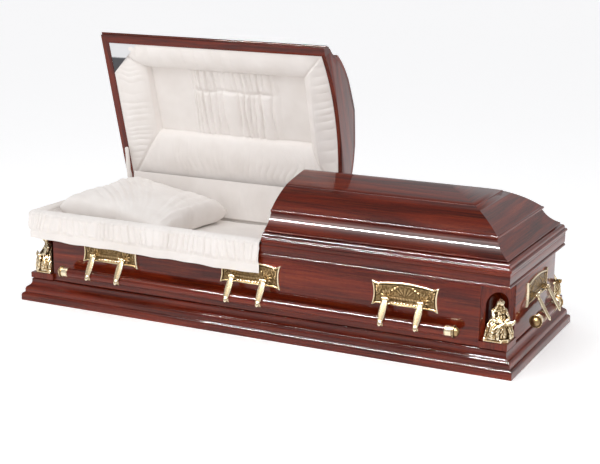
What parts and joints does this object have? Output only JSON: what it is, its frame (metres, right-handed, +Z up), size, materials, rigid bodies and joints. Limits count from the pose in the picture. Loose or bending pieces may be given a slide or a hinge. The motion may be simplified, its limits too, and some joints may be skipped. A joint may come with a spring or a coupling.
{
  "type": "half couch casket",
  "caption": "Half-couch wooden casket with a stepped base, open head lid, closed foot lid, crepe interior, pillow, corner figures and swing bar handles.",
  "frame": {"origin": "middle of the footprint of the base moulding, on the floor", "axes": "+X towards the foot end, +Y towards the hinged back, +Z up"},
  "size_m": [2.2198, 0.9575, 1.0739],
  "materials": {
    "mahogany": "high gloss lacquer over a red brown stain",
    "plain_board": "unfinished",
    "antique_brass": "antiqued, dark in the hollows and rubbed bright on the high spots",
    "crepe": "matt woven crepe",
    "dark_steel": "satin",
    "card": "matt"
  },
  "bodies": {
    "root": {"base_front": "mahogany", "base_back": "mahogany", "base_head": "mahogany", "base_foot": "mahogany", "bottom_board": "plain_board", "panel_front": "mahogany", "panel_back": "mahogany", "panel_head": "mahogany", "panel_foot": "mahogany", "rail_front": "mahogany", "rail_back": "mahogany", "rail_head": "mahogany", "rail_foot": "mahogany", "corner_posts": "mahogany", "corner_ledges": "mahogany", "figure_front_foot": "antique_brass", "figure_back_foot": "antique_brass", "figure_front_head": "antique_brass", "figure_back_head": "antique_brass", "plate_front_head": "antique_brass", "plate_front_middle": "antique_brass", "plate_front_foot": "antique_brass", "plate_back_head": "antique_brass", "plate_back_middle": "antique_brass", "plate_back_foot": "antique_brass", "plate_head": "antique_brass", "plate_foot": "antique_brass", "handle_pins": "antique_brass", "mattress": "crepe", "pillow": "crepe", "body_lining": "crepe", "overlay_top": "crepe", "overlay_drop_cloth": "crepe", "lid_stay": "crepe", "latch": "dark_steel", "hinges_body": "dark_steel"},
    "handle_front": {"arms_front": "antique_brass", "bar_front": "mahogany", "caps_front": "antique_brass"},
    "handle_back": {"arms_back": "antique_brass", "bar_back": "mahogany", "caps_back": "antique_brass"},
    "handle_head": {"arms_head": "antique_brass", "bar_head": "mahogany", "caps_head": "antique_brass"},
    "handle_foot": {"arms_foot": "antique_brass", "bar_foot": "mahogany", "caps_foot": "antique_brass"},
    "head_lid": {"head_lid_rim": "mahogany", "head_lid_crown": "mahogany", "head_lid_header": "mahogany", "head_lid_lining": "crepe", "corner_card": "card", "hinges_head_lid": "dark_steel"},
    "foot_lid": {"foot_lid_rim": "mahogany", "foot_lid_crown": "mahogany", "foot_lid_header": "mahogany", "foot_lid_lining": "crepe", "hinges_foot_lid": "dark_steel"}
  },
  "joints": [
    {"name": "head_lid_hinge", "type": "hinge", "parent": "root", "child": "head_lid", "pos_m": [0, 0.3703, 0.353], "axis": [1, 0, 0], "range_deg": [0, 73.5], "deforming": ["overlay_top", "pillow", "lid_stay"]},
    {"name": "foot_lid_hinge", "type": "hinge", "parent": "root", "child": "foot_lid", "pos_m": [0, 0.3703, 0.353], "axis": [-1, 0, 0], "range_deg": [0, 73.5]},
    {"name": "handle_front_swing", "type": "hinge", "parent": "root", "child": "handle_front", "pos_m": [0, -0.386, 0.23], "axis": [-1, 0, 0], "range_deg": [0, 60]},
    {"name": "handle_back_swing", "type": "hinge", "parent": "root", "child": "handle_back", "pos_m": [0, 0.386, 0.23], "axis": [1, 0, 0], "range_deg": [0, 60]},
    {"name": "handle_head_swing", "type": "hinge", "parent": "root", "child": "handle_head", "pos_m": [-1.051, 0, 0.23], "axis": [0, 1, 0], "range_deg": [0, 60]},
    {"name": "handle_foot_swing", "type": "hinge", "parent": "root", "child": "handle_foot", "pos_m": [1.051, 0, 0.23], "axis": [0, -1, 0], "range_deg": [0, 60]}
  ]
}
